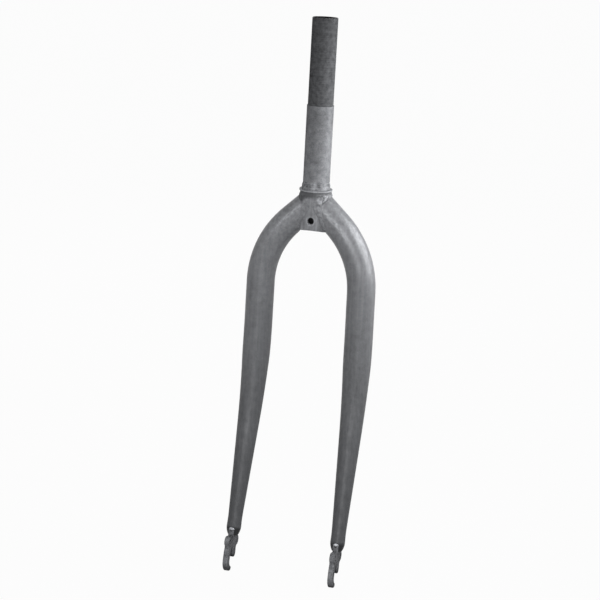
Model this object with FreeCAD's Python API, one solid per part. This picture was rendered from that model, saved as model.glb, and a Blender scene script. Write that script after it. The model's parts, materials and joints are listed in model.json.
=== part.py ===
"""Welded steel unicrown fork with a one inch threaded steerer, for a caliper brake and a 24 inch wheel.

Frame, in millimetres: the origin is on the steerer's axis, on the flange that carries the crown race.
+Z runs up the steerer, -Y is forward, the way the rake leads, and +X is the rider's left.
"""
import FreeCAD
import Part

import math
import os

from FreeCAD import Vector

# Steerer tube
STEERER_D = 25.4
STEERER_BORE = 22.2
STEERER_LENGTH = 160.0
THREAD_D = 25.2
THREAD_LENGTH = 81.0
TOP_CHAMFER = 0.8
KEYWAY_WIDTH = 3.2
KEYWAY_DEPTH = 0.8

# Crown race seat and the flange under it
SEAT_D = 27.0
SEAT_HEIGHT = 5.0
SEAT_CHAMFER = 0.4
FLANGE_D = 31.4
FLANGE_THICKNESS = 1.6

# Base of the steerer, between the blades
BASE_MARGIN = 1.2
BASE_BORE = 20.8
BUTT_TOP = 45.0
BUTT_BOTTOM = 15.0
BASE_DROP = 38.0
ARCH_RADIUS = 50.0
BRAKE_HOLE_D = 6.5
BRAKE_HOLE_DROP = 29.0
BRAKE_SEAT_D = 10.5

# Blades: round tube, bent at the crown, then raked and tapered
BLADE_D = 27.3
BLADE_WALL = 1.6
TIP_D = 14.3
SPLAY = 46.7
BEND_RADIUS = 87.8
BEND_DROP = 95.0
BEND_HALF_WIDTH = 50.0
RAKE_START_DROP = 133.6
RAKE_END_DROP = 237.2
RAKE_ANGLE = 17.1
TAPER_START_DROP = 165.0
TAPER_END_DROP = 319.0
BLADE_END_DROP = 341.5
DOME_LENGTH = 8.6
DOME_END_D = 9.6
LEG_STATIONS = 17

# Fork ends: stamped plates, laid out from the axle
HUB_WIDTH = 100.0
END_THICKNESS = 5.0
END_DROP = 17.0
END_LEAD = 3.5
END_EDGE_ROUND = 0.8
AXLE_SLOT_WIDTH = 9.6
PRONG_WIDTH = 7.8
REAR_PRONG_STRAIGHT = 1.1
FRONT_PRONG_STRAIGHT = 6.5
HOOK_RADIUS = 6.8
HOOK_THICKNESS = 4.5
HOOK_TIP_D = 4.4
TAB_DEPTH = 5.2
TAB_PROUD = 0.5
SHOULDER_GAP = 0.5
FRONT_SHOULDER = 6.2
REAR_SHOULDER = 2.0
EYELET_D = 10.0
EYELET_HOLE_D = 5.0
EYELET_FILLET = 2.5

# Crown welds: as thick as this, outside both the base and the blade
WELD_HEIGHT = 0.8
WELD_HALF_GAP = 0.6

# Tip welds: a round tack over the top of the slot, ahead of the blade and behind it
TACK_RADIUS = 3.4
TACK_PROUD = 0.3

# Cutting tools reach this far past what they cut
SPARE = 5.0

base_radius = BLADE_D / 2 + BASE_MARGIN
arch_rise = ARCH_RADIUS - math.sqrt(ARCH_RADIUS ** 2 - base_radius ** 2)
end_half_width = (HUB_WIDTH + END_THICKNESS) / 2
rake_slope = math.tan(math.radians(RAKE_ANGLE))
splay = math.radians(SPLAY)
leg_lean = math.atan2(end_half_width - BEND_HALF_WIDTH, BLADE_END_DROP - BEND_DROP)
dome_drop = BLADE_END_DROP - DOME_LENGTH * math.cos(math.radians(RAKE_ANGLE))
body_radius = AXLE_SLOT_WIDTH / 2 + PRONG_WIDTH


def clamp(value, low, high):
    return min(max(value, low), high)


def disc(centre, normal, radius):
    return Part.Face(Part.Wire(Part.Circle(centre, normal, radius).toShape()))


def arch_cutter():
    """Round bar across the fork that trims the base to the tyre's arch."""
    reach = base_radius + SPARE
    start = Vector(0, -reach, -BASE_DROP - ARCH_RADIUS)
    return Part.makeCylinder(ARCH_RADIUS, 2 * reach, start, Vector(0, 1, 0))


def brake_bar(diameter):
    """Round bar along the brake bolt's axis, right through the base."""
    reach = base_radius + SPARE
    return Part.makeCylinder(diameter / 2, 2 * reach, Vector(0, -reach, -BRAKE_HOLE_DROP), Vector(0, 1, 0))


def steerer():
    """Turned and bored tube with its race seat, flange and base, as one piece."""
    bottom = -(BASE_DROP + arch_rise + SPARE)
    radius = STEERER_D / 2
    thread_radius = THREAD_D / 2
    thread_bottom = STEERER_LENGTH - THREAD_LENGTH
    seat_radius = SEAT_D / 2
    flange_radius = FLANGE_D / 2
    profile = [
        (BASE_BORE / 2, bottom),
        (base_radius, bottom),
        (base_radius, -FLANGE_THICKNESS),
        (flange_radius, -FLANGE_THICKNESS),
        (flange_radius, 0),
        (seat_radius, 0),
        (seat_radius, SEAT_HEIGHT - SEAT_CHAMFER),
        (seat_radius - SEAT_CHAMFER, SEAT_HEIGHT),
        (radius, SEAT_HEIGHT),
        (radius, thread_bottom),
        (thread_radius, thread_bottom),
        (thread_radius, STEERER_LENGTH - TOP_CHAMFER),
        (thread_radius - TOP_CHAMFER, STEERER_LENGTH),
        (STEERER_BORE / 2, STEERER_LENGTH),
        (STEERER_BORE / 2, BUTT_TOP),
        (BASE_BORE / 2, BUTT_BOTTOM),
    ]
    points = [Vector(r, 0, z) for r, z in profile]
    outline = Part.makePolygon(points + points[:1])
    body = Part.Face(outline).revolve(Vector(0, 0, 0), Vector(0, 0, 1), 360)
    keyway = Part.makeBox(
        KEYWAY_WIDTH, KEYWAY_DEPTH + SPARE, THREAD_LENGTH + SPARE,
        Vector(-KEYWAY_WIDTH / 2, thread_radius - KEYWAY_DEPTH, thread_bottom))
    return body.cut([arch_cutter(), brake_bar(BRAKE_HOLE_D), keyway])


def leg_centre(drop):
    """Point on the left blade's axis below the crown bend."""
    out = BEND_HALF_WIDTH + (drop - BEND_DROP) * math.tan(leg_lean)
    bend = RAKE_END_DROP - RAKE_START_DROP
    bent = clamp(drop - RAKE_START_DROP, 0, bend)
    straight = max(drop - RAKE_END_DROP, 0)
    lead = rake_slope * (bent ** 2 / (2 * bend) + straight)
    return Vector(out, -lead, -drop)


def leg_direction(drop):
    """Direction of the left blade's axis, downwards."""
    share = clamp((drop - RAKE_START_DROP) / (RAKE_END_DROP - RAKE_START_DROP), 0, 1)
    return Vector(math.tan(leg_lean), -rake_slope * share, -1).normalize()


def leg_radius(drop):
    share = clamp((drop - TAPER_START_DROP) / (TAPER_END_DROP - TAPER_START_DROP), 0, 1)
    return (BLADE_D + (TIP_D - BLADE_D) * share) / 2


def splay_direction():
    """Direction of the left blade's top straight, away from the steerer."""
    return Vector(math.sin(splay), 0, -math.cos(splay))


def crown_bend():
    """Centre of the left blade's crown bend, the top of the bend, and the angle that it turns."""
    inward = Vector(-math.cos(leg_lean), 0, -math.sin(leg_lean))
    centre = leg_centre(BEND_DROP) + inward * BEND_RADIUS
    top = centre + Vector(math.cos(splay), 0, math.sin(splay)) * BEND_RADIUS
    return centre, top, math.degrees(splay - leg_lean)


def blade_root():
    """Where the left blade's axis meets the steerer's axis."""
    _, bend_top, _ = crown_bend()
    return bend_top - splay_direction() * (bend_top.x / math.sin(splay))


def blade_rod(inset):
    """The left blade's tube as a solid rod, from the steerer's axis to its dome, its radius less an inset."""
    top_radius = BLADE_D / 2 - inset
    root = blade_root()
    centre, bend_top, turn = crown_bend()
    straight = disc(root, splay_direction(), top_radius).extrude(bend_top - root)
    bend = disc(leg_centre(BEND_DROP), leg_direction(BEND_DROP), top_radius).revolve(
        centre, Vector(0, -1, 0), turn)
    rings = []
    for station in range(LEG_STATIONS):
        drop = BEND_DROP + (dome_drop - BEND_DROP) * station / (LEG_STATIONS - 1)
        ring = Part.Circle(leg_centre(drop), leg_direction(drop), leg_radius(drop) - inset)
        rings.append(Part.Wire(ring.toShape()))
    leg = Part.makeLoft(rings, True)
    return straight.fuse([bend, leg]).removeSplitter()


def blade_dome():
    """Spun-in lower end of the left blade: an arc from its tip diameter to the flat at its end."""
    axis = leg_direction(dome_drop)
    start = leg_centre(dome_drop)
    end = start + axis * DOME_LENGTH
    out = Vector(1, 0, 0).cross(axis).normalize()
    rim = start + out * (TIP_D / 2)
    lip = end + out * (DOME_END_D / 2)
    turn = 2 * math.atan2(TIP_D - DOME_END_D, 2 * DOME_LENGTH)
    radius = DOME_LENGTH / math.sin(turn)
    middle = rim - out * radius + (out * math.cos(turn / 2) + axis * math.sin(turn / 2)) * radius
    edges = [
        Part.makeLine(start, rim),
        Part.Arc(rim, middle, lip).toShape(),
        Part.makeLine(lip, end),
        Part.makeLine(end, start),
    ]
    return Part.Face(Part.Wire(edges)).revolve(start, axis, 360)


def crown_cutter():
    """Round bar as thick as the base, which mitres the blades to it."""
    height = BASE_DROP + arch_rise + BLADE_D
    return Part.makeCylinder(base_radius, height + SPARE, Vector(0, 0, -height))


def blade(end_plate):
    """Hollow left blade, mitred to the base and slotted for its fork end."""
    outside = blade_rod(0).fuse(blade_dome()).removeSplitter()
    return outside.cut([blade_rod(BLADE_WALL), crown_cutter(), end_plate])


def tip_tack(end_plate, ahead):
    """Tack of weld over the top of the left blade's slot: a ball sunk in the blade and in the fork end."""
    axis = leg_direction(dome_drop)
    slot_top = leg_centre(BLADE_END_DROP) - axis * TAB_DEPTH
    out = axis.cross(Vector(1, 0, 0)).normalize() * ahead
    crest = TIP_D / 2 + TAB_PROUD + TACK_PROUD
    ball = Part.makeSphere(TACK_RADIUS, slot_top + out * (crest - TACK_RADIUS))
    return ball.cut([blade_rod(0).fuse(blade_dome()), end_plate])


def crown_weld():
    """Weld round the left blade's mitre, dressed away where the brake's washer seats.

    It fills what lies within its height of both the base and the blade.
    """
    height = BASE_DROP + arch_rise + SPARE
    near_base = Part.makeCylinder(
        base_radius + WELD_HEIGHT, height - FLANGE_THICKNESS, Vector(0, 0, -height))
    reach = base_radius / math.sin(splay) + BLADE_D
    near_blade = Part.makeCylinder(BLADE_D / 2 + WELD_HEIGHT, reach, blade_root(), splay_direction())
    half = base_radius + WELD_HEIGHT + SPARE
    left_half = Part.makeBox(half, 2 * half, height, Vector(WELD_HALF_GAP, -half, -height))
    bead = near_base.common([near_blade]).common(left_half)
    return bead.cut([crown_cutter(), blade_rod(0), arch_cutter(), brake_bar(BRAKE_SEAT_D)])


def meeting_point(centre_a, reach_a, centre_b, reach_b, hand):
    """Point at given distances from two others, to the given hand of the line between them."""
    line = centre_b - centre_a
    along = (reach_a ** 2 - reach_b ** 2 + line.Length ** 2) / (2 * line.Length)
    across = math.sqrt(reach_a ** 2 - along ** 2)
    unit = Vector(line).normalize()
    return centre_a + unit * along + Vector(-unit.y, unit.x, 0) * (hand * across)


def towards(centre, point, distance):
    return centre + (point - centre).normalize() * distance


def arc(*points):
    return Part.Arc(*points).toShape()


def arc_about(centre, start, end):
    """The shorter arc between two points at one distance from a centre."""
    return arc(start, towards(centre, (start + end) * 0.5, (start - centre).Length), end)


def eyelet_centres():
    """Front and rear eyelets, ahead of and below the axle."""
    half_tab = TIP_D / 2 + TAB_PROUD
    level = SHOULDER_GAP - END_DROP + EYELET_D / 2
    front = Vector(half_tab - END_LEAD + FRONT_SHOULDER, level, 0)
    rear = Vector(-half_tab - END_LEAD - REAR_SHOULDER, level, 0)
    return front, rear


def eyelet_edges(eyelet, ahead):
    """Outline from the top of an eyelet, round it and down the hollow neck to the side of the body."""
    axle = Vector(0, 0, 0)
    radius = EYELET_D / 2
    neck = meeting_point(
        eyelet, radius + EYELET_FILLET, axle, body_radius + EYELET_FILLET, -ahead)
    top = eyelet - Vector(0, radius, 0)
    side = eyelet + Vector(ahead * radius, 0, 0)
    neck_top = towards(eyelet, neck, radius)
    neck_bottom = towards(axle, neck, body_radius)
    body_side = Vector(ahead * body_radius, 0, 0)
    return [
        arc(top, side, neck_top),
        arc_about(neck, neck_top, neck_bottom),
        arc_about(axle, neck_bottom, body_side),
    ]


def hook_edges():
    """Front prong and its hook, down the outside, round the tip and back up the inside."""
    slot_half = AXLE_SLOT_WIDTH / 2
    tip_radius = HOOK_TIP_D / 2
    outer_radius = HOOK_RADIUS + HOOK_THICKNESS
    outside = Vector(body_radius, FRONT_PRONG_STRAIGHT, 0)
    inside = Vector(slot_half, FRONT_PRONG_STRAIGHT, 0)
    outer_centre = outside - Vector(outer_radius, 0, 0)
    inner_centre = inside - Vector(HOOK_RADIUS, 0, 0)
    tip = meeting_point(outer_centre, outer_radius - tip_radius, inner_centre, HOOK_RADIUS + tip_radius, -1)
    outer_end = towards(outer_centre, tip, outer_radius)
    inner_end = towards(inner_centre, tip, HOOK_RADIUS)
    return [
        Part.makeLine(Vector(body_radius, 0, 0), outside),
        arc_about(outer_centre, outside, outer_end),
        arc(outer_end, tip - Vector(tip_radius, 0, 0), inner_end),
        arc_about(inner_centre, inner_end, inside),
        Part.makeLine(inside, Vector(slot_half, 0, 0)),
    ]


def fork_end_outline():
    """Closed outline of a fork end, with x ahead of the axle and y below it, along the blade."""
    slot_half = AXLE_SLOT_WIDTH / 2
    half_tab = TIP_D / 2 + TAB_PROUD
    shoulder = SHOULDER_GAP - END_DROP
    tab_top = -END_DROP - TAB_DEPTH
    front, rear = eyelet_centres()
    up = Vector(0, -EYELET_D / 2, 0)
    tab = [
        rear + up,
        Vector(-END_LEAD - half_tab, shoulder, 0),
        Vector(-END_LEAD - half_tab, tab_top, 0),
        Vector(-END_LEAD + half_tab, tab_top, 0),
        Vector(-END_LEAD + half_tab, shoulder, 0),
        front + up,
    ]
    prong_inside = Vector(-slot_half, REAR_PRONG_STRAIGHT, 0)
    prong_outside = Vector(-body_radius, REAR_PRONG_STRAIGHT, 0)
    prong_tip = (prong_inside + prong_outside) * 0.5 + Vector(0, PRONG_WIDTH / 2, 0)
    edges = [Part.makeLine(a, b) for a, b in zip(tab, tab[1:])]
    edges += eyelet_edges(front, 1)
    edges += hook_edges()
    edges += [
        arc(Vector(slot_half, 0, 0), Vector(0, -slot_half, 0), Vector(-slot_half, 0, 0)),
        Part.makeLine(Vector(-slot_half, 0, 0), prong_inside),
        arc(prong_inside, prong_tip, prong_outside),
        Part.makeLine(prong_outside, Vector(-body_radius, 0, 0)),
    ]
    edges += eyelet_edges(rear, -1)
    return Part.Wire(Part.__sortEdges__(edges))


def fork_end():
    """Stamped plate with its edges broken, set square to the hub in the left blade's slot."""
    plate = Part.Face(fork_end_outline()).extrude(Vector(0, 0, END_THICKNESS))
    plate.translate(Vector(0, 0, -END_THICKNESS / 2))
    shoulder = SHOULDER_GAP - END_DROP
    rims = []
    for edge in plate.Edges:
        box = edge.BoundBox
        on_a_face = box.ZLength < END_EDGE_ROUND
        below_tab = box.YMin > shoulder - END_EDGE_ROUND and box.YMax > shoulder + END_EDGE_ROUND
        if on_a_face and below_tab:
            rims.append(edge)
    plate = plate.makeFillet(END_EDGE_ROUND, rims)
    for centre in eyelet_centres():
        start = centre - Vector(0, 0, END_THICKNESS / 2 + SPARE)
        plate = plate.cut(Part.makeCylinder(EYELET_HOLE_D / 2, END_THICKNESS + 2 * SPARE, start))

    lean = math.radians(RAKE_ANGLE)
    ahead = Vector(0, -math.cos(lean), math.sin(lean))
    below = Vector(0, -math.sin(lean), -math.cos(lean))
    axle = leg_centre(BLADE_END_DROP) + below * END_DROP + ahead * END_LEAD
    plate.Placement = FreeCAD.Placement(FreeCAD.Matrix(
        ahead.x, below.x, 1, axle.x,
        ahead.y, below.y, 0, axle.y,
        ahead.z, below.z, 0, axle.z,
        0, 0, 0, 1))
    return plate


def main():
    os.makedirs("parts", exist_ok=True)
    end_plate = fork_end()
    left_pieces = {
        "blade": blade(end_plate),
        "fork_end": end_plate,
        "crown_weld": crown_weld(),
        "front_tip_weld": tip_tack(end_plate, 1),
        "rear_tip_weld": tip_tack(end_plate, -1),
    }
    pieces = {"steerer": steerer()}
    for name, shape in left_pieces.items():
        pieces["left_" + name] = shape
        pieces["right_" + name] = shape.mirror(Vector(0, 0, 0), Vector(1, 0, 0))
    for name, shape in pieces.items():
        shape.exportStep("parts/" + name + ".step")
        print(name, len(shape.Solids), "solid,", round(shape.Volume), "mm3, valid", shape.isValid())


main()
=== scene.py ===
"""Looks of a bare, welded steel bicycle fork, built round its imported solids.

Everything is in metres in the solids' frame: +Z runs up the steerer, -Y is forward, and the origin is on
the flange that carries the crown race. The blades and fork ends keep their solids. The steerer is turned
again with a real thread, the crown welds are laid as beads in passes, and the tacks at the tips are lumps
of weld.
"""

import json
import math
from collections import namedtuple

import bmesh
import bpy
from mathutils import Matrix, Vector


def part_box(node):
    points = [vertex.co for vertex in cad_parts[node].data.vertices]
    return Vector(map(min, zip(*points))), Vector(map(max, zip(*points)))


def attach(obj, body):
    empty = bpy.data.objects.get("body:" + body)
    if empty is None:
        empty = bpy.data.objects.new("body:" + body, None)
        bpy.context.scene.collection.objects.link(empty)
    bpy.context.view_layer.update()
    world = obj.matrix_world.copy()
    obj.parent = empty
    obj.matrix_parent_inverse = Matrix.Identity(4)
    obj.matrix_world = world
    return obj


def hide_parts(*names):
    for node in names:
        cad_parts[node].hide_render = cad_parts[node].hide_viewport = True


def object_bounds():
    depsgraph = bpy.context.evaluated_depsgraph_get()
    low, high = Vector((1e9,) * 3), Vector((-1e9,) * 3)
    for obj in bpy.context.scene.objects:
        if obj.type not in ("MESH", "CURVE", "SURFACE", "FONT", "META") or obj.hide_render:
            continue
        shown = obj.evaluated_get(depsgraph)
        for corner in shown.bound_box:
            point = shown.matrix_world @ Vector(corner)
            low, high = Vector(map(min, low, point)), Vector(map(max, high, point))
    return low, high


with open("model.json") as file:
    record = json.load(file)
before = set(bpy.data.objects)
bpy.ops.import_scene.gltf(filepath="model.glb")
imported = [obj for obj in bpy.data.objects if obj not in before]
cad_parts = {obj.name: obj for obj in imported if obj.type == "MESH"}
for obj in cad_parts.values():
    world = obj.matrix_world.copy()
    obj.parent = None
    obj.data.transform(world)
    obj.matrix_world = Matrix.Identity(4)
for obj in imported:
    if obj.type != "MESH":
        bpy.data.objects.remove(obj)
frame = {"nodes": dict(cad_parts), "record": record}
cad_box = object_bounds()

Grain = namedtuple("Grain", "per_metre detail roughness", defaults=(2.0, 0.5))
Station = namedtuple("Station", "foot_a foot_b outward_a outward_b core height relief")

MM = 0.001

# Camera, fitted to the outlines in the photograph
VIEW_AZIMUTH = math.radians(14.482)
VIEW_ELEVATION = math.radians(14.41)
VIEW_ROLL = math.radians(3.083)
VIEW_DISTANCE = 1.4985
TARGET_ACROSS = -0.00943
TARGET_HEIGHT = -0.10956
LENS = 93.32
SENSOR = 36.0

# Floor and light all round
FLOOR_HALF = 14.0
FLOOR_TONE = 0.25
FLOOR_GLOW = 0.97
WORLD_LEVEL = 0.04

# Steerer
THREAD_LENGTH = 81 * MM
THREAD_PITCH = 25.4 * MM / 24
THREAD_CREST = 12.6 * MM
THREAD_ROOT = 12.02 * MM
THREAD_CREST_LAND = 0.16
THREAD_STEPS = 56
RUN_OUT_TURNS = 2
TOP_CHAMFER = 0.8 * MM
KEYWAY_WIDTH = 3.2 * MM
KEYWAY_DEPTH = 0.8 * MM
SEAT_HEIGHT = 5 * MM
SEAT_EASE = 1.2 * MM
TURNED_REACH = 2.4 * MM
FLANGE_THICKNESS = 1.6 * MM
FLANGE_ROUND = 0.2 * MM
EDGE_ROUND = 0.4 * MM
BASE_RADIUS = 14.85 * MM
BASE_BORE = 10.4 * MM
BUTT_TOP = 45 * MM
BUTT_BOTTOM = 15 * MM
BASE_DROP = 38 * MM
ARCH_RADIUS = 50 * MM
HOLE_CHAMFER = 0.7 * MM
TURNED_STEPS = 160
SPARE = 5 * MM
WALL_SPARE = 0.5 * MM
FACE_SPARE = 0.01 * MM
MERGE_DISTANCE = 0.001 * MM

# Crown joint
BLADE_RADIUS = 13.65 * MM
BLADE_SPLAY = math.radians(46.7)
BLADE_ROOT_DROP = 10.864 * MM

# Blade tips, as distances along the raked axis and behind it
RAKE_ANGLE = math.radians(17.1)
RAKE_AXIS = (0, -math.sin(RAKE_ANGLE), -math.cos(RAKE_ANGLE))
BEHIND_RAKE = (0, math.cos(RAKE_ANGLE), -math.sin(RAKE_ANGLE))
DOME_START = 331.9 * MM
HOOK_END = 375.3 * MM
PRONG_END = 362.5 * MM
SLOT_BEHIND = 55 * MM

# Crown welds: degrees round the blade from its top, then width on the base, width on the blade and height
# in millimetres, and relief
BEAD_SHAPE = (
    (15, 2.4, 1.4, 0.1, 0.5),
    (36, 6.0, 2.2, 0.4, 1.0),
    (60, 7.0, 3.0, 0.4, 1.0),
    (85, 5.0, 4.4, 0.3, 0.35),
    (115, 1.2, 3.6, 0.3, 0.25),
    (148, 0.8, 3.0, 0.3, 0.3),
)
BEAD_REACH = math.radians(148)
BEAD_TAPER = math.radians(9)
BEAD_END_SIZE = 0.25
BEAD_SINK = 0.08 * MM
BEAD_CORE = 1.5 * MM
BEAD_STATIONS = 320
BEAD_STEPS_ACROSS = 30
BASE_TOE_POWER = 2.2
BLADE_TOE_POWER = 3
PASSES = 3.5
PASS_HEIGHT = 0.15 * MM
PASS_WANDER = 0.9
RIPPLE_SPACING = 6 * MM
RIPPLE_HEIGHT = 0.9 * MM
RIPPLE_CHEVRON = 0.5
BEAD_UNEVENNESS = 0.7 * MM
BEAD_WANDER = Grain(260.0)
BEAD_LUMPS = Grain(130.0)
SMOOTHER_WELD = 0.45

# Brightness painted on a bead: on its smooth stretches, painted highlight on its ripples and painted shade
# between them and at its toes. Places across it run from -1 at its toe on the base to 1 at its toe on the
# blade
SMOOTH_LEVEL = 0.3
SMOOTH_LUMPS = 0.4
RIPPLED_PASSES = 0.15
RIPPLED_RIPPLES = 0.75
RIPPLED_LUMPS = 0.3
BASE_EDGE = (-1.0, -0.5)
BLADE_EDGE = (0.5, 0.9)
BASE_TOE_EDGE = (-0.5, 0.0)
BASE_TOE_LEVEL = 0.5
BITE_FLOOR = 0.3
BITE_EDGE = (0.3, 0.9)
BITE_LEVELS = (0.5, 0.1)

# Tacks at the tips, with painted highlight on their lumps' tops and towards their heads
TACK_LUMPS = 0.45 * MM
TACK_GRAIN = 700.0
TACK_RANGE = (0.3, 0.7)
TACK_FADE = 1.2 * MM
TACK_LEVEL = 0.5
TACK_CONTRAST = 0.5

# Edges sharper than these stay sharp
SHARP_EDGE = math.radians(35)
SHARP_TURNED_EDGE = math.radians(30)
SHARP_WELD_EDGE = math.radians(60)

# Steel's slight blue cast, and the gloss of dull and of smoother steel
STEEL_TINT = (0.98, 1.0, 1.05)
DULL_GLOSS = 0.02
BLADE_GLOSS = 0.12

# The middle of a noise's range, which is stretched to run from 0 to 1
NOISE_RANGE = (0.36, 0.64)
STREAK_RANGE = (0.35, 0.65)
TURNED_RANGE = (0.3, 0.7)

# Blasted steel; pairs are the values where it is dark and where it is light
CLOUDS = Grain(22.0, 3.0)
MOTTLE = Grain(190.0, 4.0, 0.6)
GRIT = Grain(1100.0, 2.0, 0.7)
CLOUD_SHARE = 0.25
MOTTLE_SHARE = 0.4
GRIT_SHARE = 0.35
GRIT_HEIGHT = 0.5
BLASTED_ROUGHNESS = (0.66, 0.5)
BLASTED_METALLIC = (0.0, 0.1)

# Painted shade on the fork ends
TIP_SHADE_REACH = 9 * MM
TIP_SHADE_EDGE = 1 * MM
TIP_SHADE_SHARE = 0.85
TIP_SHADE_TONE = 0.4

# Blades: streaks, heat marks near the crown, the smoother bend and painted shade on the domed ends
STREAKS = Grain(420.0, 3.0)
BLADE_STREAK_STRETCH = 0.03
BLADE_STREAK_SHARE = 0.3
PALE_START = 300 * MM
PALE_END = 50 * MM
PALE_DARKS = 0.9
PALE_LIGHTS = 1.08
HEAT_MARKS = Grain(300.0, 3.0, 0.6)
HEAT_REACH = 66 * MM
HEAT_SHARE = 0.6
HEAT_HEIGHT = 1.5
BEND_END = 150 * MM
BEND_START = 50 * MM
BEND_SMOOTHING = 0.1
BEND_METALLIC = 0.18
BLADE_ROUGHNESS = (0.54, 0.42)
BLADE_METALLIC = 0.1
DOME_SHADE_GRAIN = Grain(300.0, 3.0)
DOME_SHADE_RAGGEDNESS = 3 * MM
DOME_SHADE_START = DOME_START + 1 * MM
DOME_SHADE_END = DOME_START + 4 * MM
DOME_SHADE_SHARE = 0.85
DOME_SHADE_TONE = 0.2

# Soot and painted shade under the flange: a ragged patch, deeper on the right side where the painted shade
# falls and thin on the left, and a line of painted shade in the corner
SOOT_AND_SHADE_GRAIN = Grain(160.0, 3.0)
SOOT_AND_SHADE_REACH = 7 * MM
SOOT_AND_SHADE_EDGE = 4 * MM
SOOT_AND_SHADE_FADE = SOOT_AND_SHADE_EDGE / 3
SOOT_AND_SHADE_SHARE = 0.8
SOOT_AND_SHADE_DEEP_START = 4 * MM
SOOT_AND_SHADE_DEEP_END = 10 * MM
SOOT_AND_SHADE_THIN_END = 11 * MM
SOOT_AND_SHADE_THIN_SHARE = 0.2
SOOT_AND_SHADE_SIDE_WANDER = 2.0
SHADE_LINE_START = 1 * MM
SHADE_LINE_END = 3 * MM
SHADE_LINE_SHARE = 0.7
SOOT_AND_SHADE_TONE = 0.45

# Base, faced bright round the brake bolt's hole
BASE_STREAK_STRETCH = 0.08
BASE_STREAK_SHARE = 0.4
BASE_ROUGHNESS = (0.62, 0.46)
FACED_EDGE = (4.2 * MM, 5.0 * MM)
FACED_SHARE = 0.6
FACED_GAIN = 1.5

# Turned steel
RINGS = Grain(2600.0)
RING_STRETCH = (0.02, 0.02, 1.0)
RING_SHARE = 0.3
TURNED_MOTTLE = Grain(260.0, 4.0, 0.65)
TURNED_ROUGHNESS = (0.75, 0.56)

# Weld metal
WELD_MOTTLE = Grain(420.0, 4.0, 0.65)
WELD_GRIT = Grain(1500.0)
WELD_GRIT_SHARE = 0.3
WELD_LEVEL = 0.55
WELD_CONTRAST = 0.5
WELD_SOOT_AND_SHADE_SHARE = 0.85
WELD_ROUGHNESS = (0.6, 0.36)
WELD_METALLIC = (0.0, 0.2)

mounts = {mount["name"]: mount for mount in frame["record"]["mounts"]}
steerer_low, steerer_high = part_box("steerer")
hole_height = mounts["brake_bolt_hole"]["pos_m"][2]


def mount_radius(name):
    return mounts[name]["dims"]["r_mm"] * MM


# Node trees


def add(tree, kind, inputs=None, **settings):
    """A node with its settings and inputs, where an input is a value or another node's socket."""
    node = tree.nodes.new(kind)
    for name, value in settings.items():
        setattr(node, name, value)
    for name, value in (inputs or {}).items():
        if isinstance(value, bpy.types.NodeSocket):
            tree.links.new(value, node.inputs[name])
        else:
            node.inputs[name].default_value = value
    return node


def maths(tree, operation, first, second=0.0):
    return add(tree, "ShaderNodeMath", {0: first, 1: second}, operation=operation).outputs[0]


def times(tree, first, second):
    return maths(tree, "MULTIPLY", first, second)


def weighted(tree, *parts):
    """Sum of values, each times its weight."""
    total = 0.0
    for value, weight in parts:
        total = maths(tree, "ADD", times(tree, value, weight), total)
    return total


def noise(tree, place, grain):
    inputs = {
        "Vector": place, "Scale": grain.per_metre, "Detail": grain.detail, "Roughness": grain.roughness}
    return add(tree, "ShaderNodeTexNoise", inputs).outputs["Fac"]


def spread(tree, value, low, high, to_low=0.0, to_high=1.0):
    """A value's range stretched to another, and held at its ends."""
    inputs = {"Value": value, "From Min": low, "From Max": high, "To Min": to_low, "To Max": to_high}
    return add(tree, "ShaderNodeMapRange", inputs).outputs["Result"]


def humps(tree, value):
    """0 at each whole number and 1 half way between, in rounded humps."""
    part = maths(tree, "SUBTRACT", times(tree, maths(tree, "FRACT", value), 2.0), 1.0)
    return maths(tree, "SUBTRACT", 1.0, times(tree, part, part))


def blend(tree, share, first, second):
    inputs = {0: share, 2: first, 3: second}
    return add(tree, "ShaderNodeMix", inputs, data_type="FLOAT").outputs[0]


def blend_colour(tree, share, first, second):
    inputs = {0: share, 6: first, 7: second}
    return add(tree, "ShaderNodeMix", inputs, data_type="RGBA").outputs[2]


def axes_of(tree, place):
    return add(tree, "ShaderNodeSeparateXYZ", {0: place}).outputs


def distance_along(tree, place, axis):
    return add(tree, "ShaderNodeVectorMath", {0: place, 1: axis}, operation="DOT_PRODUCT").outputs["Value"]


# Finishes


def white(level):
    return (level, level, level, 1.0)


def steel(level):
    return (*(level * share for share in STEEL_TINT), 1.0)


def new_material(name):
    material = bpy.data.materials.new(name)
    material.use_nodes = True
    material.node_tree.nodes.clear()
    return material, material.node_tree


def object_place(tree, stretch=(1, 1, 1)):
    place = add(tree, "ShaderNodeTexCoord").outputs["Object"]
    return add(tree, "ShaderNodeMapping", {"Vector": place, "Scale": stretch}).outputs["Vector"]


def steel_surface(tree, colour, roughness, metallic, height, relief, gloss=DULL_GLOSS):
    """Principled surface with its bump, joined to the material's output."""
    bump = add(tree, "ShaderNodeBump", {"Height": height, "Distance": relief, "Strength": 1.0})
    shader = add(tree, "ShaderNodeBsdfPrincipled", {
        "Base Color": colour, "Roughness": roughness, "Metallic": metallic,
        "Specular IOR Level": gloss, "Normal": bump.outputs["Normal"]})
    add(tree, "ShaderNodeOutputMaterial", {"Surface": shader.outputs[0]})


def blasted_tone(tree, place):
    """Tone and height of grit-blasted steel: clouds, mottling at a few millimetres, and grit."""
    cloud = noise(tree, place, CLOUDS)
    mottle = noise(tree, place, MOTTLE)
    grit = noise(tree, place, GRIT)
    tone = weighted(tree, (cloud, CLOUD_SHARE), (mottle, MOTTLE_SHARE), (grit, GRIT_SHARE))
    height = weighted(tree, (mottle, 1.0), (grit, GRIT_HEIGHT))
    return spread(tree, tone, *NOISE_RANGE), height


def streaks(tree, stretch):
    """Streaks up and down, from 0 to 1."""
    return spread(tree, noise(tree, object_place(tree, (1, 1, stretch)), STREAKS), *STREAK_RANGE)


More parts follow.
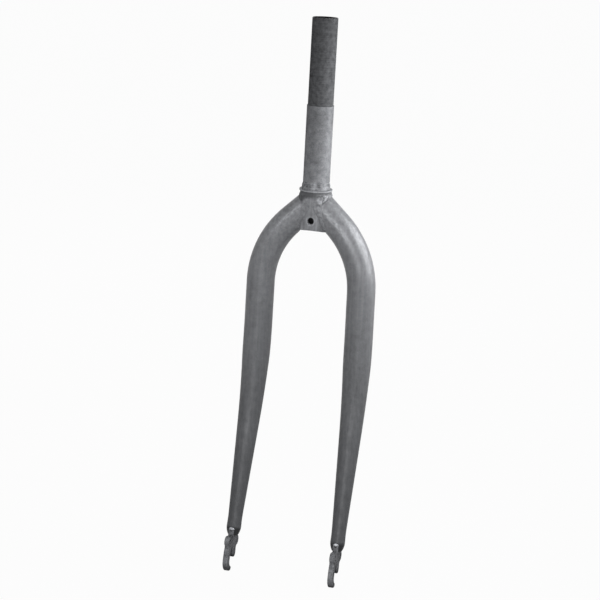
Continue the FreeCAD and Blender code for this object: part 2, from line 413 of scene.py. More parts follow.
def blasted_steel(name, dark, light, relief, painted_shade=None):
    """Dull, grit-blasted steel, darkened by painted shade where that function gives some."""
    material, tree = new_material(name)
    place = object_place(tree)
    tone, height = blasted_tone(tree, place)
    colour = blend_colour(tree, tone, steel(dark), steel(light))
    # Painted shade where the given function gives some
    if painted_shade:
        share = times(tree, painted_shade(tree, place), TIP_SHADE_SHARE)
        colour = blend_colour(tree, share, colour, steel(dark * TIP_SHADE_TONE))
    roughness = spread(tree, tone, 0.0, 1.0, *BLASTED_ROUGHNESS)
    metallic = spread(tree, tone, 0.0, 1.0, *BLASTED_METALLIC)
    steel_surface(tree, colour, roughness, metallic, height, relief)
    return material


def shaded_tips(tree, place):
    """Painted shade: grows to 1 at the ends of a fork end's hook and of the prong behind it."""
    along = distance_along(tree, place, RAKE_AXIS)
    behind = distance_along(tree, place, BEHIND_RAKE)
    hook = spread(tree, along, HOOK_END - TIP_SHADE_REACH, HOOK_END)
    prong = spread(tree, along, PRONG_END - TIP_SHADE_REACH, PRONG_END)
    on_prong = spread(tree, behind, SLOT_BEHIND - TIP_SHADE_EDGE, SLOT_BEHIND + TIP_SHADE_EDGE)
    return maths(tree, "MAXIMUM", hook, times(tree, prong, on_prong))


def shaded_dome(tree, place):
    """The share of painted shade: most on the dome at the blade's end, and none above a ragged edge."""
    along = distance_along(tree, place, RAKE_AXIS)
    ragged = weighted(tree, (along, 1.0), (noise(tree, place, DOME_SHADE_GRAIN), DOME_SHADE_RAGGEDNESS))
    return spread(tree, ragged, DOME_SHADE_START, DOME_SHADE_END, 0.0, DOME_SHADE_SHARE)


def blade_steel(name, dark, light, crown_gain, relief):
    """Blasted tube, faintly streaked along its length, paler towards the crown and mottled by heat near it,
    with painted shade on its domed end.
    """
    material, tree = new_material(name)
    place = object_place(tree)
    rise = axes_of(tree, place)["Z"]
    near_crown = spread(tree, rise, -PALE_START, -PALE_END)
    heated = spread(tree, rise, -HEAT_REACH, -HEAT_REACH / 2)
    bent = spread(tree, rise, -BEND_END, -BEND_START)
    tone, height = blasted_tone(tree, place)
    streak = streaks(tree, BLADE_STREAK_STRETCH)
    tone = weighted(tree, (tone, 1 - BLADE_STREAK_SHARE), (streak, BLADE_STREAK_SHARE))
    mark = spread(tree, noise(tree, place, HEAT_MARKS), *NOISE_RANGE)
    tone = blend(tree, times(tree, heated, HEAT_SHARE), tone, mark)
    height = weighted(tree, (height, 1.0), (times(tree, mark, heated), HEAT_HEIGHT))
    dark_colour = blend_colour(tree, near_crown, steel(dark), steel(dark * crown_gain * PALE_DARKS))
    light_colour = blend_colour(tree, near_crown, steel(light), steel(light * crown_gain * PALE_LIGHTS))
    colour = blend_colour(tree, tone, dark_colour, light_colour)
    # Painted shade on the blade's domed end
    colour = blend_colour(tree, shaded_dome(tree, place), colour, steel(dark * DOME_SHADE_TONE))
    rough = spread(tree, tone, 0.0, 1.0, *BLADE_ROUGHNESS)
    roughness = weighted(tree, (rough, 1.0), (bent, -BEND_SMOOTHING))
    metallic = weighted(tree, (tone, BLADE_METALLIC), (bent, BEND_METALLIC))
    steel_surface(tree, colour, roughness, metallic, height, relief, BLADE_GLOSS)
    return material


def sooty_and_shaded(tree, place):
    """The share of soot and painted shade: a patch under the flange that thins out to the left, and a line
    of painted shade in the corner.
    """
    axes = axes_of(tree, place)
    wander = weighted(tree, (noise(tree, place, SOOT_AND_SHADE_GRAIN), SOOT_AND_SHADE_EDGE), (1.0, -SOOT_AND_SHADE_EDGE / 2))
    deeper = spread(tree, axes["X"], -SOOT_AND_SHADE_DEEP_END, -SOOT_AND_SHADE_DEEP_START, SOOT_AND_SHADE_EDGE, 0.0)
    height = weighted(tree, (axes["Z"], 1.0), (wander, 1.0), (deeper, 1.0))
    under = spread(tree, height, -SOOT_AND_SHADE_REACH - SOOT_AND_SHADE_FADE, -SOOT_AND_SHADE_REACH + SOOT_AND_SHADE_FADE, 0.0, SOOT_AND_SHADE_SHARE)
    side = weighted(tree, (axes["X"], 1.0), (wander, SOOT_AND_SHADE_SIDE_WANDER))
    patch = times(tree, under, spread(tree, side, 0.0, SOOT_AND_SHADE_THIN_END, 1.0, SOOT_AND_SHADE_THIN_SHARE))
    line_start = -FLANGE_THICKNESS - SHADE_LINE_START
    line_end = -FLANGE_THICKNESS - SHADE_LINE_END
    line = spread(tree, axes["Z"], line_end, line_start, 0.0, SHADE_LINE_SHARE)
    return maths(tree, "MAXIMUM", patch, line)


def faced_round_hole(tree, place):
    """The share of bright steel round the brake bolt's hole."""
    axes = axes_of(tree, place)
    rise = maths(tree, "SUBTRACT", axes["Z"], hole_height)
    across = times(tree, axes["X"], axes["X"])
    away = maths(tree, "SQRT", maths(tree, "ADD", across, times(tree, rise, rise)))
    return spread(tree, away, *FACED_EDGE, FACED_SHARE, 0.0)


def base_steel(name, dark, light, relief):
    """Blasted base: darkened by soot and painted shade under the flange, and faced bright round the brake
    bolt's hole.
    """
    material, tree = new_material(name)
    place = object_place(tree)
    tone, height = blasted_tone(tree, place)
    streak = streaks(tree, BASE_STREAK_STRETCH)
    tone = weighted(tree, (tone, 1 - BASE_STREAK_SHARE), (streak, BASE_STREAK_SHARE))
    height = weighted(tree, (height, 1 - BASE_STREAK_SHARE), (streak, BASE_STREAK_SHARE))
    colour = blend_colour(tree, tone, steel(dark), steel(light))
    # Soot and painted shade under the flange, deeper on the shaded side, and a painted shade line in the
    # corner
    colour = blend_colour(tree, sooty_and_shaded(tree, place), colour, steel(dark * SOOT_AND_SHADE_TONE))
    faced = times(tree, faced_round_hole(tree, place), tone)
    colour = blend_colour(tree, faced, colour, steel(light * FACED_GAIN))
    roughness = spread(tree, tone, 0.0, 1.0, *BASE_ROUGHNESS)
    metallic = spread(tree, tone, 0.0, 1.0, *BLASTED_METALLIC)
    steel_surface(tree, colour, roughness, metallic, height, relief)
    return material


def turned_steel(name, dark, light, relief, sheen=0.0):
    """Lathe-turned steel: fine rings round the steerer's axis, over a mottle."""
    material, tree = new_material(name)
    rings = noise(tree, object_place(tree, RING_STRETCH), RINGS)
    mottle = noise(tree, object_place(tree), TURNED_MOTTLE)
    tone = spread(tree, weighted(tree, (rings, RING_SHARE), (mottle, 1 - RING_SHARE)), *NOISE_RANGE)
    colour = blend_colour(tree, tone, steel(dark), steel(light))
    dull, smoother = TURNED_ROUGHNESS
    roughness = spread(tree, mottle, *TURNED_RANGE, dull - sheen, smoother - sheen)
    metallic = times(tree, tone, sheen) if sheen else 0.0
    steel_surface(tree, colour, roughness, metallic, rings, relief)
    return material


def welded_steel(name, dark, light, relief):
    """Weld metal: bright on its crests as painted highlight, dull and darker between them and at its toes
    as painted shade, and darker under the flange with soot and painted shade.
    """
    material, tree = new_material(name)
    place = object_place(tree)
    crest = add(tree, "ShaderNodeAttribute", attribute_name="crest").outputs["Fac"]
    mottle = noise(tree, place, WELD_MOTTLE)
    grit = noise(tree, place, WELD_GRIT)
    grain = weighted(tree, (mottle, 1 - WELD_GRIT_SHARE), (grit, WELD_GRIT_SHARE))
    worn = spread(tree, grain, *NOISE_RANGE)
    # Painted highlight on the crests and painted shade between them and at the toes, read from the crest
    # value
    tone = times(tree, crest, weighted(tree, (worn, WELD_CONTRAST), (1.0, WELD_LEVEL)))
    colour = blend_colour(tree, tone, steel(dark), steel(light))
    # Soot and painted shade under the flange
    soot_and_shade = times(tree, sooty_and_shaded(tree, place), WELD_SOOT_AND_SHADE_SHARE)
    colour = blend_colour(tree, soot_and_shade, colour, steel(dark))
    roughness = spread(tree, tone, 0.0, 1.0, *WELD_ROUGHNESS)
    metallic = spread(tree, tone, 0.0, 1.0, *WELD_METALLIC)
    steel_surface(tree, colour, roughness, metallic, mottle, relief)
    return material


# Meshes


def show(name, data):
    thing = bpy.data.objects.new(name, data)
    bpy.context.scene.collection.objects.link(thing)
    return thing


def close_mesh(name, shape):
    """A plain mesh from a bmesh, with its seams merged, faces outwards and smooth between sharp edges."""
    bmesh.ops.remove_doubles(shape, verts=shape.verts, dist=MERGE_DISTANCE)
    bmesh.ops.recalc_face_normals(shape, faces=shape.faces)
    mesh = bpy.data.meshes.new(name)
    shape.to_mesh(mesh)
    shape.free()
    smooth(mesh, SHARP_EDGE)
    return mesh


def smooth(mesh, sharp):
    mesh.polygons.foreach_set("use_smooth", [True] * len(mesh.polygons))
    mesh.set_sharp_from_angle(angle=sharp)


def baked_mesh(piece):
    """The piece's mesh with its modifiers worked in, and the modifiers gone."""
    depsgraph = bpy.context.evaluated_depsgraph_get()
    mesh = bpy.data.meshes.new_from_object(piece.evaluated_get(depsgraph))
    piece.modifiers.clear()
    piece.data = mesh
    return mesh


def lathe(profile, steps):
    """A closed outline of (radius, height) points, turned round the Z axis."""
    shape = bmesh.new()
    rings = []
    for radius, height in profile:
        ring = []
        for step in range(steps):
            angle = 2 * math.pi * step / steps
            ring.append(shape.verts.new((radius * math.cos(angle), radius * math.sin(angle), height)))
        rings.append(ring)
    for lower, upper in zip(rings, rings[1:] + rings[:1]):
        for step in range(steps):
            after = (step + 1) % steps
            shape.faces.new((lower[step], lower[after], upper[after], upper[step]))
    return shape


def bar_across(radius_front, radius_rear, front, rear, height, steps):
    """A round or coned bar along Y, as a cutter."""
    shape = bmesh.new()
    turn = Matrix.Translation((0, (front + rear) / 2, height)) @ Matrix.Rotation(math.pi / 2, 4, "X")
    bmesh.ops.create_cone(
        shape, cap_ends=True, segments=steps, radius1=radius_rear, radius2=radius_front,
        depth=rear - front, matrix=turn)
    return shape


def block(low, high):
    """A box between two corners, as a cutter."""
    shape = bmesh.new()
    size = Vector(high) - Vector(low)
    middle = (Vector(high) + Vector(low)) / 2
    bmesh.ops.create_cube(shape, size=1, matrix=Matrix.Translation(middle) @ Matrix.Diagonal((*size, 1)))
    return shape


def cut(piece, cutters):
    """Cuts each shape out of the piece."""
    tools = []
    for number, shape in enumerate(cutters):
        tool = show(piece.name + "_cutter_" + str(number), close_mesh("cutter", shape))
        modifier = piece.modifiers.new("cut_" + str(number), "BOOLEAN")
        modifier.operation = "DIFFERENCE"
        modifier.solver = "EXACT"
        modifier.object = tool
        tools.append(tool)
    mesh = baked_mesh(piece)
    for tool in tools:
        bpy.data.objects.remove(tool)
    return mesh


def finish_piece(piece, node):
    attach(piece, "root")
    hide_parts(node)


# Geometry Nodes


def new_tree(name, inputs):
    """An empty tree with a geometry input and output and named inputs, and its group inputs."""
    tree = bpy.data.node_groups.new(name, "GeometryNodeTree")
    tree.interface.new_socket("Geometry", in_out="INPUT", socket_type="NodeSocketGeometry")
    for label, kind in inputs.items():
        tree.interface.new_socket(label, in_out="INPUT", socket_type="NodeSocket" + kind)
    tree.interface.new_socket("Geometry", in_out="OUTPUT", socket_type="NodeSocketGeometry")
    return tree, add(tree, "NodeGroupInput").outputs


def attribute(tree, name, kind="FLOAT"):
    return add(tree, "GeometryNodeInputNamedAttribute", {"Name": name}, data_type=kind).outputs[0]


def raise_surface(tree, geometry, outward, rise, crest):
    """Moves points outwards, and keeps how bright they are painted, with painted highlight and shade, for
    the finish.
    """
    offset = add(tree, "ShaderNodeVectorMath", {0: outward, "Scale": rise}, operation="SCALE")
    raised = add(tree, "GeometryNodeSetPosition", {"Geometry": geometry, "Offset": offset.outputs[0]})
    kept = add(tree, "GeometryNodeStoreNamedAttribute", {
        "Geometry": raised.outputs[0], "Name": "crest", "Value": crest}, data_type="FLOAT", domain="POINT")
    return kept.outputs[0]


def end_tree(tree, geometry, material):
    """Ends a tree in plain geometry that carries a material."""
    plain = add(tree, "GeometryNodeRealizeInstances", {"Geometry": geometry})
    painted = add(tree, "GeometryNodeSetMaterial", {"Geometry": plain.outputs[0], "Material": material})
    add(tree, "NodeGroupOutput", {"Geometry": painted.outputs[0]})


def grow(piece, tree, values):
    """Runs a tree on a piece with its inputs set, and keeps the plain mesh."""
    modifier = piece.modifiers.new(tree.name, "NODES")
    modifier.node_group = tree
    for item in tree.interface.items_tree:
        if item.in_out == "INPUT" and item.name in values:
            modifier[item.identifier] = values[item.name]
    return baked_mesh(piece)


def thread_tree():
    """One turn of a truncated V ridge, stacked a pitch apart and broken at the keyway."""
    tree, given = new_tree("steerer_thread", {
        "Root Radius": "Float", "Depth": "Float", "Pitch": "Float", "Crest Land": "Float",
        "Turns": "Int", "Steps": "Int", "Start Angle": "Float", "Turn Share": "Float",
        "Foot": "Float", "Material": "Material"})
    climb = times(tree, given["Pitch"], given["Turn Share"])
    path = add(tree, "GeometryNodeCurveSpiral", {
        "Resolution": given["Steps"], "Rotations": given["Turn Share"],
        "Start Radius": given["Root Radius"], "End Radius": given["Root Radius"], "Height": climb})
    upright = add(tree, "GeometryNodeSetCurveNormal", {"Curve": path.outputs[0]}, mode="Z_UP")
    crest = times(tree, given["Pitch"], given["Crest Land"])
    ridge = add(tree, "GeometryNodeCurvePrimitiveQuadrilateral", {
        "Height": given["Depth"], "Bottom Width": given["Pitch"], "Top Width": crest, "Offset": 0.0},
        mode="TRAPEZOID")
    half_depth = maths(tree, "DIVIDE", given["Depth"], 2.0)
    shift = add(tree, "ShaderNodeCombineXYZ", {"X": half_depth})
    profile = add(tree, "GeometryNodeTransform", {
        "Geometry": ridge.outputs[0], "Translation": shift.outputs[0], "Rotation": (0, 0, -math.pi / 2)})
    turn = add(tree, "GeometryNodeCurveToMesh", {
        "Curve": upright.outputs[0], "Profile Curve": profile.outputs[0], "Fill Caps": True})
    facing = add(tree, "ShaderNodeCombineXYZ", {"Z": given["Start Angle"]})
    lift = add(tree, "ShaderNodeCombineXYZ", {"Z": given["Foot"]})
    turned = add(tree, "GeometryNodeTransform", {
        "Geometry": turn.outputs[0], "Translation": lift.outputs[0], "Rotation": facing.outputs[0]})
    step = add(tree, "ShaderNodeCombineXYZ", {"Z": given["Pitch"]})
    stack = add(tree, "GeometryNodeMeshLine", {"Count": given["Turns"], "Offset": step.outputs[0]})
    turns = add(tree, "GeometryNodeInstanceOnPoints", {
        "Points": stack.outputs[0], "Instance": turned.outputs[0]})
    end_tree(tree, turns.outputs[0], given["Material"])
    return tree


def bead_tree():
    """Raises a bead's top in passes along its run, rippled in crescents, with some unevenness."""
    tree, given = new_tree("weld_passes", {
        "Passes": "Float", "Pass Height": "Float", "Spacing": "Float", "Ripple Height": "Float",
        "Chevron": "Float", "Unevenness": "Float", "Material": "Material"})
    across = attribute(tree, "across")
    relief = attribute(tree, "relief")
    place = add(tree, "GeometryNodeInputPosition").outputs[0]
    wander = noise(tree, place, BEAD_WANDER)
    lump = noise(tree, place, BEAD_LUMPS)

    share = spread(tree, across, -1.0, 1.0)
    lane = times(tree, share, given["Passes"])
    passes = humps(tree, weighted(tree, (lane, 1.0), (wander, PASS_WANDER)))
    bow = times(tree, times(tree, across, across), given["Chevron"])
    ripple = maths(tree, "DIVIDE", attribute(tree, "along"), given["Spacing"])
    ripples = humps(tree, weighted(tree, (ripple, 1.0), (bow, 1.0), (wander, 1.0)))
    unevenness = maths(tree, "SUBTRACT", lump, 0.5)
    rise = weighted(
        tree, (passes, given["Pass Height"]), (ripples, given["Ripple Height"]),
        (unevenness, given["Unevenness"]))
    rise = times(tree, rise, attribute(tree, "swell"))

    # Painted highlight on the ripples and painted shade between them and at the toes, kept as the crest
    # value
    even = weighted(tree, (lump, SMOOTH_LUMPS), (1.0, SMOOTH_LEVEL))
    rippled = weighted(
        tree, (passes, RIPPLED_PASSES), (ripples, RIPPLED_RIPPLES), (lump, RIPPLED_LUMPS))
    pattern = blend(tree, relief, even, rippled)
    bite = times(tree, relief, maths(tree, "ADD", wander, BITE_FLOOR))
    base_toe = spread(tree, across, *BASE_TOE_EDGE, BASE_TOE_LEVEL, 0.0)
    toe = maths(tree, "MAXIMUM", base_toe, spread(tree, bite, *BITE_EDGE, *BITE_LEVELS))
    past_base_toe = spread(tree, across, *BASE_EDGE)
    past_blade_toe = spread(tree, across, *BLADE_EDGE, 1.0, 0.0)
    crest = blend(tree, times(tree, past_blade_toe, past_base_toe), toe, pattern)

    outward = attribute(tree, "outward", "FLOAT_VECTOR")
    raised = raise_surface(tree, given["Geometry"], outward, rise, crest)
    end_tree(tree, raised, given["Material"])
    return tree


def lump_tree():
    """Pushes a surface out in rounded lumps, with painted highlight on their tops and towards its head."""
    tree, given = new_tree("weld_lumps", {
        "Height": "Float", "Grain": "Float", "Foot": "Float", "Head": "Float", "Material": "Material"})
    place = add(tree, "GeometryNodeInputPosition").outputs[0]
    outward = add(tree, "GeometryNodeInputNormal").outputs[0]
    lump = spread(tree, noise(tree, place, Grain(given["Grain"])), *TACK_RANGE)
    rise = times(tree, lump, given["Height"])
    # Painted highlight on the lumps' tops and towards the head
    bright = weighted(tree, (lump, TACK_CONTRAST), (1.0, TACK_LEVEL))
    near_head = spread(tree, axes_of(tree, place)["Z"], given["Foot"], given["Head"])
    raised = raise_surface(tree, given["Geometry"], outward, rise, times(tree, bright, near_head))
    end_tree(tree, raised, given["Material"])
    return tree


# Steerer


def tube_profile(top, thread_foot):
    """Outline of the steerer's tube as (radius, height) points, up its outside and down its bore."""
    radius = mount_radius("threaded_steerer")
    seat = mount_radius("crown_race_seat")
    bore = mount_radius("stem_bore")
    flange = steerer_high.x
    bottom = steerer_low.z - SPARE
    return [
        (BASE_BORE, bottom),
        (BASE_RADIUS, bottom),
        (BASE_RADIUS, -FLANGE_THICKNESS - EDGE_ROUND),
        (BASE_RADIUS + EDGE_ROUND, -FLANGE_THICKNESS),
        (flange - FLANGE_ROUND, -FLANGE_THICKNESS),
        (flange, -FLANGE_THICKNESS + FLANGE_ROUND),
        (flange, -FLANGE_ROUND),
        (flange - FLANGE_ROUND, 0),
        (seat, 0),
        (seat, SEAT_HEIGHT - SEAT_EASE),
        (radius, SEAT_HEIGHT + SEAT_EASE),
        (radius, SEAT_HEIGHT + TURNED_REACH),
        (radius, thread_foot),
        (THREAD_ROOT, thread_foot + THREAD_PITCH / 2),
        (THREAD_ROOT, top - TOP_CHAMFER),
        (THREAD_CREST - TOP_CHAMFER, top),
        (bore, top),
        (bore, BUTT_TOP),
        (BASE_BORE, BUTT_BOTTOM),
    ]


def tube_cutters(top, thread_foot):
    """The arch under the base, the brake bolt's hole with its two chamfers, and the keyway."""
    reach = BASE_RADIUS + SPARE
    hole = mount_radius("brake_bolt_hole")
    hole_steps = TURNED_STEPS // 2
    mouth = BASE_RADIUS - HOLE_CHAMFER
    wide = hole + HOLE_CHAMFER + SPARE
    keyway_floor = THREAD_CREST - KEYWAY_DEPTH
    return [
        bar_across(ARCH_RADIUS, ARCH_RADIUS, -reach, reach, -BASE_DROP - ARCH_RADIUS, TURNED_STEPS),
        bar_across(hole, hole, -reach, reach, hole_height, hole_steps),
        bar_across(wide, hole, -reach, -mouth, hole_height, hole_steps),
        bar_across(hole, wide, mouth, reach, hole_height, hole_steps),
        block((-KEYWAY_WIDTH / 2, keyway_floor, thread_foot), (KEYWAY_WIDTH / 2, reach, top + SPARE)),
    ]


def tube_finish(face, thread_foot):
    """Name of the finish that a face of the steerer's tube has."""
    height = face.center.z
    out = Vector((face.center.x, face.center.y, 0))
    if out.length < THREAD_ROOT - WALL_SPARE and face.normal.dot(out) < 0:
        return "inside"
    if height > thread_foot:
        return "thread"
    if height > SEAT_HEIGHT + TURNED_REACH:
        return "plain"
    if height > FACE_SPARE:
        return "seat"
    if height > -FLANGE_THICKNESS - FACE_SPARE:
        return "rim"
    return "base"


def steerer_tube(finishes):
    """Turned tube, cut as the solid is, with the thread's root where the solid has its crests."""
    top = steerer_high.z
    thread_foot = top - THREAD_LENGTH
    shape = lathe(tube_profile(top, thread_foot), TURNED_STEPS)
    piece = show("steerer_tube", close_mesh("steerer_tube", shape))
    mesh = cut(piece, tube_cutters(top, thread_foot))
    smooth(mesh, SHARP_TURNED_EDGE)
    for finish in finishes.values():
        mesh.materials.append(finish)
    names = list(finishes)
    for face in mesh.polygons:
        face.material_index = names.index(tube_finish(face, thread_foot))
    finish_piece(piece, "steerer")


def steerer_thread(finish):
    """Helical ridge on the thread's root, in turns that stop at the keyway."""
    gap = KEYWAY_WIDTH / THREAD_CREST
    piece = show("steerer_thread", bpy.data.meshes.new("steerer_thread"))
    mesh = grow(piece, thread_tree(), {
        "Root Radius": THREAD_ROOT,
        "Depth": THREAD_CREST - THREAD_ROOT,
        "Pitch": THREAD_PITCH,
        "Crest Land": THREAD_CREST_LAND,
        "Turns": int((THREAD_LENGTH - TOP_CHAMFER) / THREAD_PITCH) - RUN_OUT_TURNS,
        "Steps": THREAD_STEPS,
        "Start Angle": math.pi / 2 + gap / 2,
        "Turn Share": 1 - gap / (2 * math.pi),
        "Foot": steerer_high.z - THREAD_LENGTH + THREAD_PITCH,
        "Material": finish})
    shape = bmesh.new()
    shape.from_mesh(mesh)
    bmesh.ops.recalc_face_normals(shape, faces=shape.faces)
    shape.to_mesh(mesh)
    shape.free()
    smooth(mesh, SHARP_EDGE)
    finish_piece(piece, "steerer")


# Welds


def joint_point(angle):
    """Point where the left blade meets the base, at an angle round the blade from its top."""
    across = BLADE_RADIUS * math.sin(angle)
    out = math.sqrt(BASE_RADIUS ** 2 - across ** 2)
    rise = BLADE_RADIUS * math.cos(angle)
    along = (out - rise * math.cos(BLADE_SPLAY)) / math.sin(BLADE_SPLAY)
    height = -BLADE_ROOT_DROP - along * math.cos(BLADE_SPLAY) + rise * math.sin(BLADE_SPLAY)
    return Vector((out, across, height))


def base_axis_point(point):
    return Vector((0, 0, point.z))


def blade_axis_point(point):
    axis = Vector((math.sin(BLADE_SPLAY), 0, -math.cos(BLADE_SPLAY)))
    root = Vector((0, 0, -BLADE_ROOT_DROP))
    return root + axis * (point - root).dot(axis)


def on_tube(point, axis_point, radius):
    """The point moved straight out or in to a tube's surface, and the way out there."""
    out = (point - axis_point).normalized()
    return axis_point + out * radius, out


def clear_of_tubes(point):
    """The point, moved out where it lies deeper in the base or in the blade than a bead's sink."""
    base_axis = base_axis_point(point)
    blade_axis = blade_axis_point(point)
    for axis_point, radius in ((base_axis, BASE_RADIUS), (blade_axis, BLADE_RADIUS)):
        if (point - axis_point).length < radius - BEAD_SINK:
            point, _ = on_tube(point, axis_point, radius - BEAD_SINK)
    return point


def bead_size(angle):
    """Width on the base, width on the blade, height and relief of a bead, at an angle round the blade."""
    turn = math.degrees(abs(angle))
    sizes = BEAD_SHAPE[0][1:]
    for (start, *first), (end, *second) in zip(BEAD_SHAPE, BEAD_SHAPE[1:]):
        if turn > start:
            share = min((turn - start) / (end - start), 1.0)
            ease = share * share * (3 - 2 * share)
            sizes = [a + (b - a) * ease for a, b in zip(first, second)]
    shrink = min(1.0, (BEAD_REACH - abs(angle)) / BEAD_TAPER + BEAD_END_SIZE)
    *lengths, relief = sizes
    return (*(length * shrink * MM for length in lengths), relief * shrink)


def crown_stations(relief_share):
    """Stations of the left crown weld, from front to rear over its top, with a share of its relief."""
    stations = []
    step = BEAD_REACH / BEAD_STATIONS
    for number in range(BEAD_STATIONS + 1):
        angle = BEAD_REACH * (2 * number / BEAD_STATIONS - 1)
        point = joint_point(angle)
        run = (joint_point(angle + step) - joint_point(angle - step)).normalized()
        base_width, blade_width, height, relief = bead_size(angle)
        _, base_out = on_tube(point, base_axis_point(point), BASE_RADIUS)
        _, blade_out = on_tube(point, blade_axis_point(point), BLADE_RADIUS)
        side_a = point + base_out.cross(run) * base_width
        side_a.z = min(side_a.z, -FLANGE_THICKNESS - EDGE_ROUND)
        side_b = point + run.cross(blade_out) * blade_width
        foot_a, out_a = on_tube(side_a, base_axis_point(side_a), BASE_RADIUS - BEAD_SINK)
        foot_b, out_b = on_tube(side_b, blade_axis_point(side_b), BLADE_RADIUS - BEAD_SINK)
        core = point - (out_a + out_b).normalized() * BEAD_CORE
        stations.append(Station(foot_a, foot_b, out_a, out_b, core, height, relief * relief_share))
    return stations


def bead_mesh(name, stations):
    """Strip of weld through its stations: a crowned top between two buried feet, closed underneath."""
    shape = bmesh.new()
    along_layer = shape.verts.layers.float.new("along")
    across_layer = shape.verts.layers.float.new("across")
    swell_layer = shape.verts.layers.float.new("swell")
    relief_layer = shape.verts.layers.float.new("relief")
    outward_layer = shape.verts.layers.float_vector.new("outward")
    along = 0.0
    last_core = stations[0].core
    rings = []
    for station in stations:
        along += (station.core - last_core).length
        last_core = station.core
        ring = []
        for step in range(BEAD_STEPS_ACROSS + 1):
            share = step / BEAD_STEPS_ACROSS
            offset = 2 * share - 1
            swell = 1 - abs(offset) ** (BASE_TOE_POWER if offset < 0 else BLADE_TOE_POWER)
            outward = station.outward_a.lerp(station.outward_b, share).normalized()
            top = clear_of_tubes(station.foot_a.lerp(station.foot_b, share))
            vert = shape.verts.new(top + outward * (station.height * swell))
            vert[across_layer] = offset
            vert[swell_layer] = swell * station.relief
            vert[relief_layer] = station.relief
            vert[outward_layer] = outward
            ring.append(vert)
        ring.append(shape.verts.new(station.core))
        for vert in ring:
            vert[along_layer] = along
        rings.append(ring)
    for ring, after in zip(rings, rings[1:]):
        for step in range(len(ring)):
            beside = (step + 1) % len(ring)
            shape.faces.new((ring[step], ring[beside], after[beside], after[step]))
    shape.faces.new(rings[0])
    shape.faces.new(rings[-1])
    return close_mesh(name, shape)


def mirror_bead(mesh):
    """Mirrors a bead in X, with its faces and its stored outward directions."""
    mesh.transform(Matrix.Diagonal((-1, 1, 1, 1)))
    mesh.flip_normals()
    for value in mesh.attributes["outward"].data:
        value.vector = (-value.vector[0], value.vector[1], value.vector[2])


def crown_welds(finish):
    """Beads round the blades' joints with the base, of which the right one is smoother."""
    tree = bead_tree()
    for side, relief_share in (("left", 1.0), ("right", SMOOTHER_WELD)):
        mesh = bead_mesh(side + "_weld_bead", crown_stations(relief_share))
        if side == "right":
            mirror_bead(mesh)
        piece = show(side + "_weld_bead", mesh)
        mesh = grow(piece, tree, {
            "Passes": PASSES,
            "Pass Height": PASS_HEIGHT,
            "Spacing": RIPPLE_SPACING,
            "Ripple Height": RIPPLE_HEIGHT,
            "Chevron": RIPPLE_CHEVRON,
            "Unevenness": BEAD_UNEVENNESS,
            "Material": finish})
        smooth(mesh, SHARP_WELD_EDGE)
        finish_piece(piece, side + "_crown_weld")


def tip_tacks(finish):
    """Lumps of weld over the tops of the blades' slots."""
    tree = lump_tree()
    for side in ("left", "right"):
        for place in ("front", "rear"):
            node = side + "_" + place + "_tip_weld"
            name = side + "_" + place + "_tack"
            shape = bmesh.new()
            shape.from_mesh(frame["nodes"][node].data)
            piece = show(name, close_mesh(name, shape))
            low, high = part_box(node)
            middle = (low.z + high.z) / 2
            mesh = grow(piece, tree, {
                "Height": TACK_LUMPS,
                "Grain": TACK_GRAIN,
                "Foot": middle,
                "Head": middle + TACK_FADE,
                "Material": finish})
            smooth(mesh, SHARP_WELD_EDGE)
            finish_piece(piece, node)


# Stage


def place_camera():
    """Camera at the photograph's view, rolled as the photograph is."""
    back = Vector((
        math.sin(VIEW_AZIMUTH) * math.cos(VIEW_ELEVATION),
        -math.cos(VIEW_AZIMUTH) * math.cos(VIEW_ELEVATION),
        math.sin(VIEW_ELEVATION)))
    right = Vector((math.cos(VIEW_AZIMUTH), math.sin(VIEW_AZIMUTH), 0))
    up = back.cross(right)
    across = right * math.cos(VIEW_ROLL) + up * math.sin(VIEW_ROLL)
    upward = up * math.cos(VIEW_ROLL) - right * math.sin(VIEW_ROLL)
    spot = right * TARGET_ACROSS + Vector((0, 0, TARGET_HEIGHT)) + back * VIEW_DISTANCE
    data = bpy.data.cameras.new("camera")
    data.lens = LENS
    data.sensor_width = SENSOR
    camera = show("camera", data)
    turn = Matrix((across, upward, back)).transposed().to_4x4()
    camera.matrix_world = Matrix.Translation(spot) @ turn
    bpy.context.scene.camera = camera


def seen_directly(tree):
    """1 for what the camera sees straight, in a reflection or through glass."""
    path = add(tree, "ShaderNodeLightPath").outputs
    seen = maths(tree, "MAXIMUM", path["Is Camera Ray"], path["Is Glossy Ray"])
    return maths(tree, "MAXIMUM", seen, path["Is Transmission Ray"])


def make_floor():
    """Wide pale floor, at the height of the lowest point, that keeps a soft shadow."""
    shape = bmesh.new()
    corners = ((-1, -1), (1, -1), (1, 1), (-1, 1))
    shape.faces.new([
        shape.verts.new((x * FLOOR_HALF, y * FLOOR_HALF, cad_box[0].z)) for x, y in corners])
    mesh = bpy.data.meshes.new("floor")
    shape.to_mesh(mesh)
    shape.free()
    floor = show("floor", mesh)
    material, tree = new_material("pale_floor")
    paper = add(tree, "ShaderNodeBsdfDiffuse", {"Color": white(FLOOR_TONE)})
    glow = add(tree, "ShaderNodeEmission", {"Color": white(1.0), "Strength": 1.0})
    share = times(tree, seen_directly(tree), FLOOR_GLOW)
    mixed = add(tree, "ShaderNodeMixShader", {0: share, 1: paper.outputs[0], 2: glow.outputs[0]})
    add(tree, "ShaderNodeOutputMaterial", {"Surface": mixed.outputs[0]})
    mesh.materials.append(material)


def light_world():
    """Soft grey light all round, seen as white."""
    world = bpy.data.worlds.new("studio")
    bpy.context.scene.world = world
    world.use_nodes = True
    tree = world.node_tree
    tree.nodes.clear()
    level = spread(tree, seen_directly(tree), 0.0, 1.0, WORLD_LEVEL, 1.0)
    sky = add(tree, "ShaderNodeBackground", {"Color": white(1.0), "Strength": level})
    add(tree, "ShaderNodeOutputWorld", {"Surface": sky.outputs[0]})


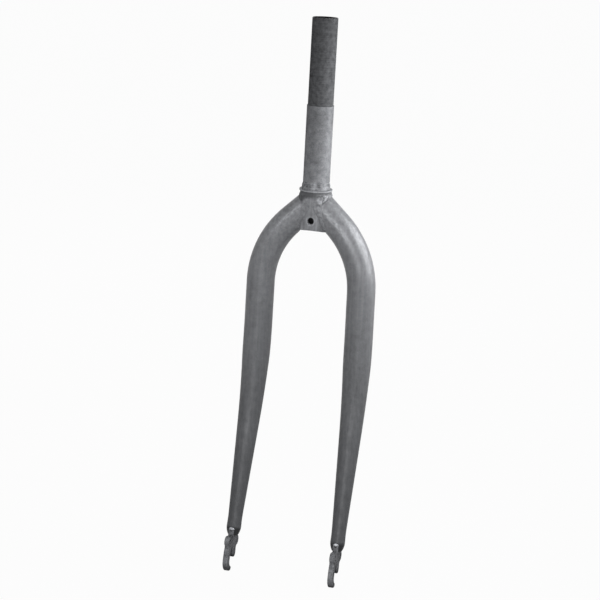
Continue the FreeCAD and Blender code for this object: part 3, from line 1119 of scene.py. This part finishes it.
def lamp(name, spot, aim, size, power, cone=math.pi):
    """A round lamp that faces a point and lights a cone in front of it."""
    data = bpy.data.lights.new(name, "AREA")
    data.shape = "DISK"
    data.size = size
    data.energy = power
    data.spread = cone
    lamp_object = show(name, data)
    lamp_object.visible_camera = False
    towards = Vector(aim) - Vector(spot)
    lamp_object.location = spot
    lamp_object.rotation_euler = towards.to_track_quat("-Z", "Y").to_euler()


def light_lamps():
    """A key lamp beside the crown, a weak one for the other shoulder, and wide ones in front and behind."""
    lamp("key_lamp", spot=(0.24, 0.02, 0.045), aim=(0, 0, -0.01), size=0.24, power=1.45)
    lamp("front_lamp", spot=(0.22, -1.7, 0.2), aim=(0, 0, -0.15), size=1.0, power=22.0)
    lamp("streak_lamp", spot=(-0.234, -0.3, 0.064), aim=(0, 0, -0.08), size=0.06, power=0.055,
         cone=math.radians(60))
    lamp("rear_lamp", spot=(-0.5, 1.4, 0.7), aim=(0, 0, -0.15), size=0.5, power=14.0)


# Assembly

blade_finish = blade_steel("blade_steel", dark=0.07, light=0.112, crown_gain=1.66, relief=0.05 * MM)
# Fork ends: blasted steel with painted shade at the ends of the hook and of the prong
end_finish = blasted_steel("fork_end_steel", dark=0.045, light=0.3, relief=0.4 * MM, painted_shade=shaded_tips)
thread_finish = turned_steel("thread_steel", dark=0.048, light=0.105, relief=0.02 * MM)
weld_finish = welded_steel("weld_steel", dark=0.04, light=0.34, relief=0.1 * MM)
# Tacks: the pale end of this finish is painted highlight
tack_finish = welded_steel("tack_steel", dark=0.06, light=0.85, relief=0.05 * MM)

steerer_tube({
    "plain": blasted_steel("steerer_plain_steel", dark=0.095, light=0.22, relief=0.08 * MM),
    "seat": turned_steel("race_seat_steel", dark=0.07, light=0.24, relief=0.02 * MM, sheen=0.2),
    "rim": turned_steel("flange_rim_steel", dark=0.17, light=0.29, relief=0.02 * MM),
    "base": base_steel("base_steel", dark=0.11, light=0.24, relief=0.2 * MM),
    # Near-black inside of the bore: painted shade
    "inside": blasted_steel("bore_shade_steel", dark=0.01, light=0.03, relief=0.1 * MM),
    "thread": thread_finish,
})
steerer_thread(thread_finish)
crown_welds(weld_finish)
tip_tacks(tack_finish)
for side in ("left", "right"):
    for node, finish in (("_blade", blade_finish), ("_fork_end", end_finish)):
        materials = frame["nodes"][side + node].data.materials
        materials.clear()
        materials.append(finish)

place_camera()
make_floor()
light_world()
light_lamps()
bpy.context.scene.view_settings.view_transform = "Standard"
